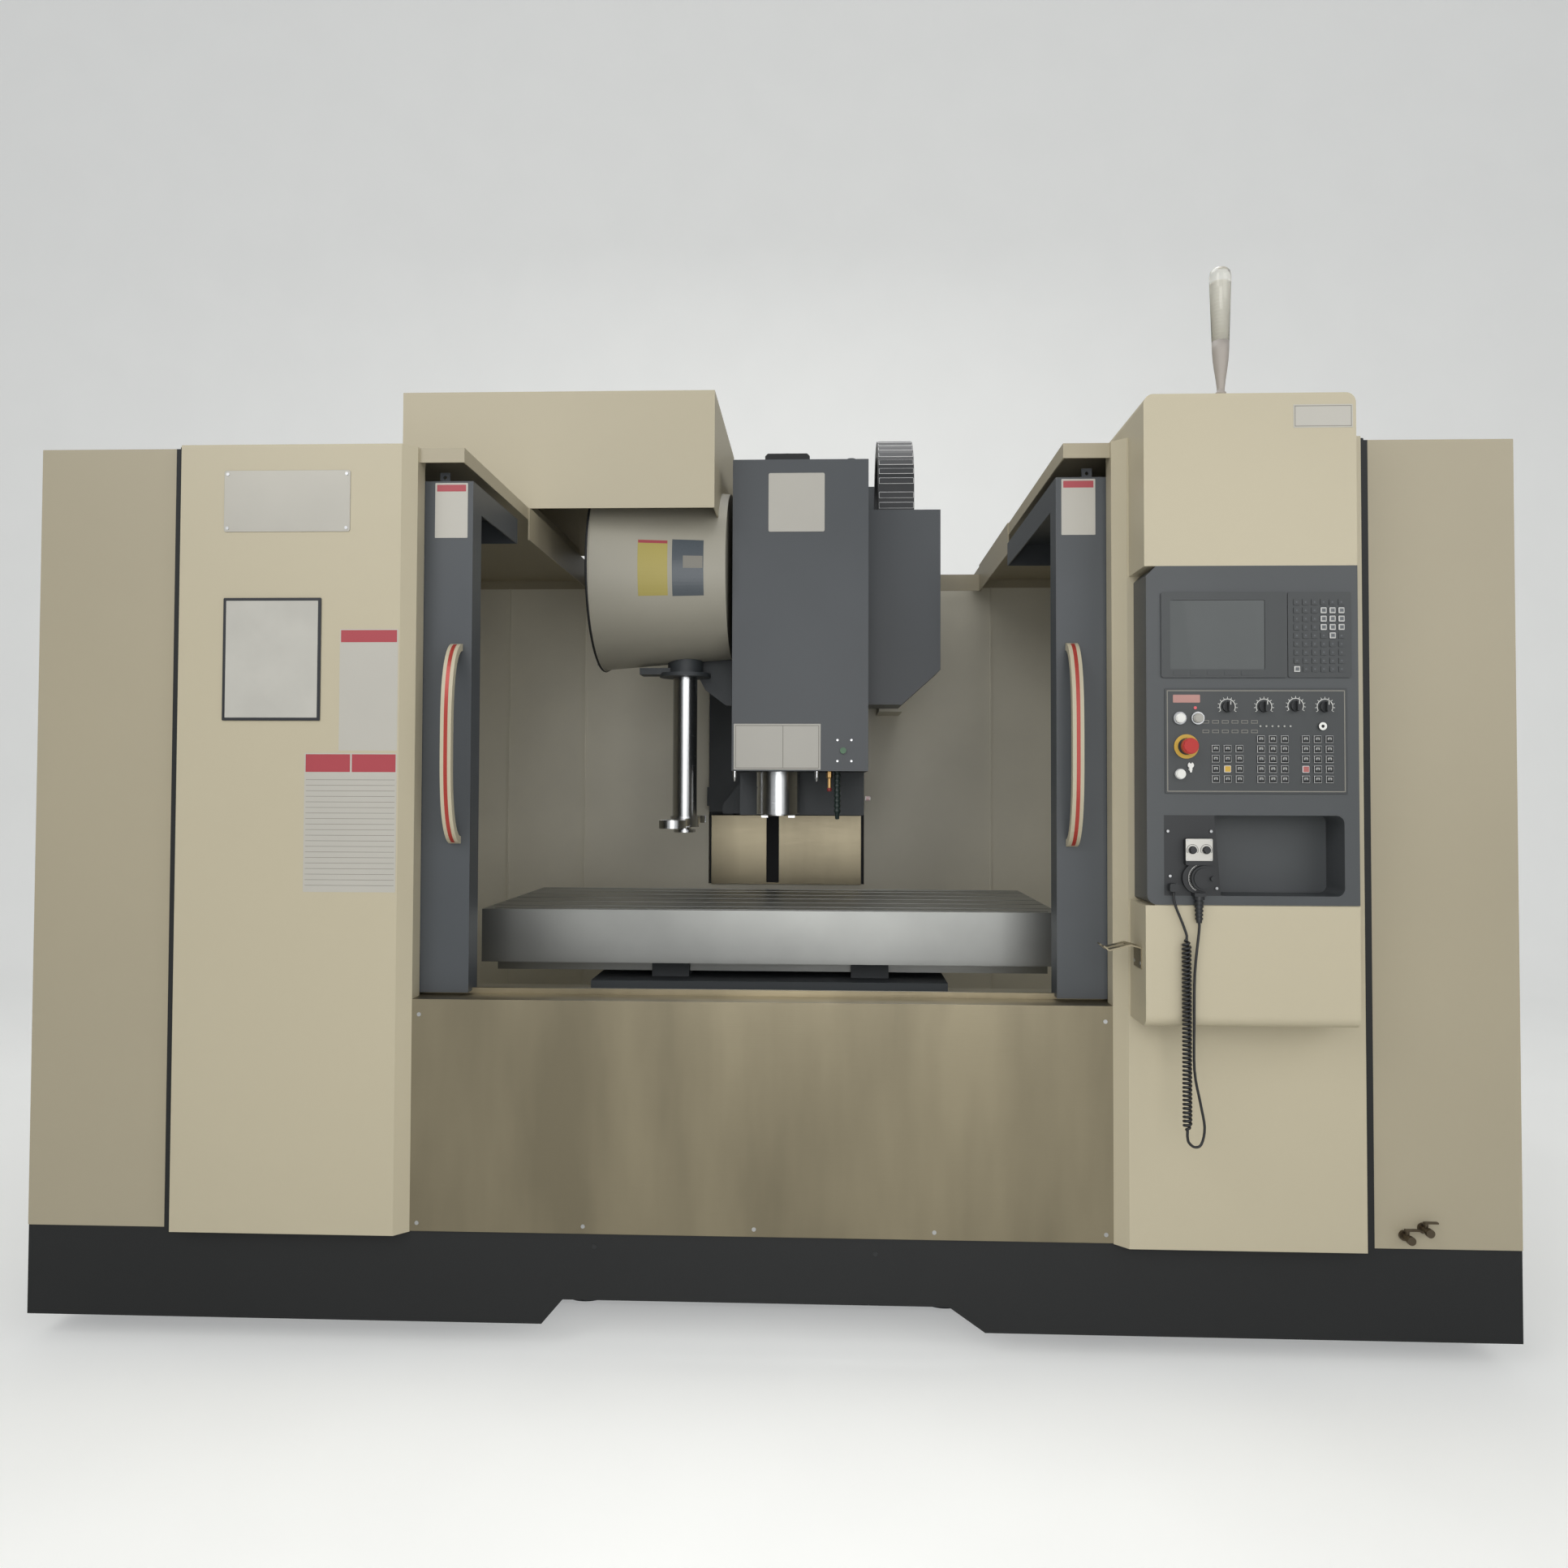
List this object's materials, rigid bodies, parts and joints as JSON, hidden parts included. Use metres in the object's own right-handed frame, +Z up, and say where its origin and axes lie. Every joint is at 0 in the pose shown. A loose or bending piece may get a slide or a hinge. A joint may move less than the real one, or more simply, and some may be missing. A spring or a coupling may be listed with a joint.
{
  "type": "cnc machining center",
  "caption": "Large enclosed vertical machining center with two sliding front doors, arm tool changer, T-slot table and an operator console with hand pendant on the right.",
  "frame": {"origin": "bottom centre of the bounding box, on the floor", "axes": "+X to the right of the front, +Y from the front to the back, +Z up"},
  "size_m": [4, 3.445, 3.03],
  "materials": {
    "castings": "painted casting",
    "cream_panels": "fine powder coat",
    "grey_panels": "fine powder coat",
    "dark_sheet": "fine powder coat",
    "dark_console": "fine powder coat",
    "stainless": "brushed across",
    "machined_steel": "ground",
    "black_plastic": "moulded",
    "clear_lamp": "moulded",
    "glass": "clear",
    "handle_paint": "satin",
    "black_cable": "matt",
    "brass": "turned",
    "ochre_pot": "moulded",
    "red_plastic": "moulded",
    "white_plastic": "moulded",
    "green_plastic": "moulded"
  },
  "bodies": {
    "machine": {"bed": "castings", "column": "castings", "z_drive": "dark_sheet", "base_skirt": "dark_sheet", "outer_panels": "cream_panels", "main_panels": "cream_panels", "sill_panel": "stainless", "roof_panels": "cream_panels", "splash_walls": "grey_panels", "way_cover": "stainless", "operator_hood": "cream_panels", "operator_console": "dark_console", "display_unit": "black_plastic", "control_plate": "dark_console", "lower_box": "cream_panels", "pendant_hook": "stainless", "socket_plate": "black_plastic", "pendant": "stainless", "pendant_gland": "black_plastic", "pendant_cord": "black_cable", "signal_lamp": "clear_lamp", "magazine_hood": "cream_panels", "magazine_cover": "grey_panels", "arm_drive": "castings", "electrical_cabinet": "cream_panels", "hose_valves": "brass"},
    "door_left": {"door_left": "dark_console", "window_left": "glass", "handle_left": "handle_paint"},
    "door_right": {"door_right": "dark_console", "window_right": "glass", "handle_right": "handle_paint"},
    "saddle": {"saddle": "castings"},
    "table": {"table": "castings"},
    "head": {"head_casting": "castings", "head_cover": "dark_sheet", "head_fittings": "brass", "cable_chain": "black_plastic", "spindle_housing": "machined_steel"},
    "spindle": {"spindle": "machined_steel"},
    "unclamp_button": {"unclamp_button": "green_plastic"},
    "magazine_disc": {"magazine_disc": "castings"},
    "tool_pot": {"tool_pot": "ochre_pot"},
    "arm_shaft": {"arm_shaft": "machined_steel"},
    "tool_arm": {"tool_arm": "machined_steel"},
    "cabinet_door": {"cabinet_door": "cream_panels"},
    "main_switch": {"main_switch": "red_plastic"},
    "estop_button": {"estop_button": "red_plastic"},
    "power_on_button": {"power_on_button": "white_plastic"},
    "power_off_button": {"power_off_button": "white_plastic"},
    "start_button": {"start_button": "white_plastic"},
    "selector_mode": {"selector_mode": "black_plastic"},
    "axis_knob": {"axis_knob": "black_plastic"},
    "scale_knob": {"scale_knob": "black_plastic"},
    "selector_feed": {"selector_feed": "black_plastic"},
    "selector_rapid": {"selector_rapid": "black_plastic"},
    "selector_override": {"selector_override": "black_plastic"},
    "program_key": {"program_key": "white_plastic"},
    "handwheel": {"handwheel": "black_plastic"},
    "key_switch": {"key_switch": "white_plastic"}
  },
  "joints": [
    {"name": "door_left_slide", "type": "slide", "parent": "machine", "child": "door_left", "axis": [1, 0, 0], "range_m": [0, 0.803]},
    {"name": "door_right_slide", "type": "slide", "parent": "machine", "child": "door_right", "axis": [-1, 0, 0], "range_m": [0, 0.803]},
    {"name": "y_axis", "type": "slide", "parent": "machine", "child": "saddle", "axis": [0, 1, 0], "range_m": [-0.092, 0.708]},
    {"name": "x_axis", "type": "slide", "parent": "saddle", "child": "table", "axis": [1, 0, 0], "range_m": [-0.8, 0.8]},
    {"name": "z_axis", "type": "slide", "parent": "machine", "child": "head", "axis": [0, 0, 1], "range_m": [-0.13, 0.67], "deforming": ["cable_chain"]},
    {"name": "spindle_turn", "type": "hinge", "parent": "head", "child": "spindle", "pos_m": [0, -0.2895, 1.5], "axis": [0, 0, 1], "continuous": true},
    {"name": "unclamp_push", "type": "slide", "parent": "head", "child": "unclamp_button", "axis": [0, 1, 0], "range_m": [0, 0.004], "stiffness_N_per_m": 500},
    {"name": "magazine_turn", "type": "hinge", "parent": "machine", "child": "magazine_disc", "pos_m": [-0.6, -0.2895, 2.305], "axis": [1, 0, 0], "continuous": true},
    {"name": "pot_tip", "type": "hinge", "parent": "magazine_disc", "child": "tool_pot", "pos_m": [-0.664, -0.2895, 1.979], "axis": [0, -1, 0], "range_deg": [0, 90]},
    {"name": "arm_drop", "type": "slide", "parent": "machine", "child": "arm_shaft", "axis": [0, 0, 1], "range_m": [-0.11, 0]},
    {"name": "arm_swing", "type": "hinge", "parent": "arm_shaft", "child": "tool_arm", "pos_m": [-0.35, -0.2895, 1.392], "axis": [0, 0, 1], "range_deg": [0, 270]},
    {"name": "cabinet_door_hinge", "type": "hinge", "parent": "machine", "child": "cabinet_door", "pos_m": [0.65, 1.7105, 1.2], "axis": [0, 0, -1], "range_deg": [0, 110]},
    {"name": "main_switch_turn", "type": "hinge", "parent": "machine", "child": "main_switch", "pos_m": [0.65, 1.46276, 1.3], "axis": [1, 0, 0], "range_deg": [0, 90]},
    {"name": "estop_push", "type": "slide", "parent": "machine", "child": "estop_button", "axis": [0, 1, 0], "range_m": [0, 0.005]},
    {"name": "power_on_button_push", "type": "slide", "parent": "machine", "child": "power_on_button", "axis": [0, 1, 0], "range_m": [0, 0.004], "stiffness_N_per_m": 500},
    {"name": "power_off_button_push", "type": "slide", "parent": "machine", "child": "power_off_button", "axis": [0, 1, 0], "range_m": [0, 0.004], "stiffness_N_per_m": 500},
    {"name": "start_button_push", "type": "slide", "parent": "machine", "child": "start_button", "axis": [0, 1, 0], "range_m": [0, 0.004], "stiffness_N_per_m": 500},
    {"name": "selector_mode_turn", "type": "hinge", "parent": "machine", "child": "selector_mode", "pos_m": [1.184, -1.6775, 1.724], "axis": [0, -1, 0], "range_deg": [0, 180]},
    {"name": "selector_feed_turn", "type": "hinge", "parent": "machine", "child": "selector_feed", "pos_m": [1.274, -1.6775, 1.724], "axis": [0, -1, 0], "range_deg": [0, 270]},
    {"name": "selector_rapid_turn", "type": "hinge", "parent": "machine", "child": "selector_rapid", "pos_m": [1.352, -1.6775, 1.726], "axis": [0, -1, 0], "range_deg": [0, 120]},
    {"name": "selector_override_turn", "type": "hinge", "parent": "machine", "child": "selector_override", "pos_m": [1.424, -1.6775, 1.724], "axis": [0, -1, 0], "range_deg": [0, 180]},
    {"name": "program_key_turn", "type": "hinge", "parent": "machine", "child": "program_key", "pos_m": [1.091, -1.6775, 1.567], "axis": [0, -1, 0], "range_deg": [0, 60]},
    {"name": "handwheel_turn", "type": "hinge", "parent": "machine", "child": "handwheel", "pos_m": [1.117, -1.6915, 1.296], "axis": [0, -1, 0], "continuous": true},
    {"name": "axis_knob_turn", "type": "hinge", "parent": "machine", "child": "axis_knob", "pos_m": [1.09, -1.6975, 1.366], "axis": [0, -1, 0], "range_deg": [0, 240]},
    {"name": "scale_knob_turn", "type": "hinge", "parent": "machine", "child": "scale_knob", "pos_m": [1.124, -1.6975, 1.366], "axis": [0, -1, 0], "range_deg": [0, 120]},
    {"name": "key_turn", "type": "hinge", "parent": "machine", "child": "key_switch", "pos_m": [1.416, -1.6775, 1.675], "axis": [0, -1, 0], "range_deg": [0, 90]}
  ]
}
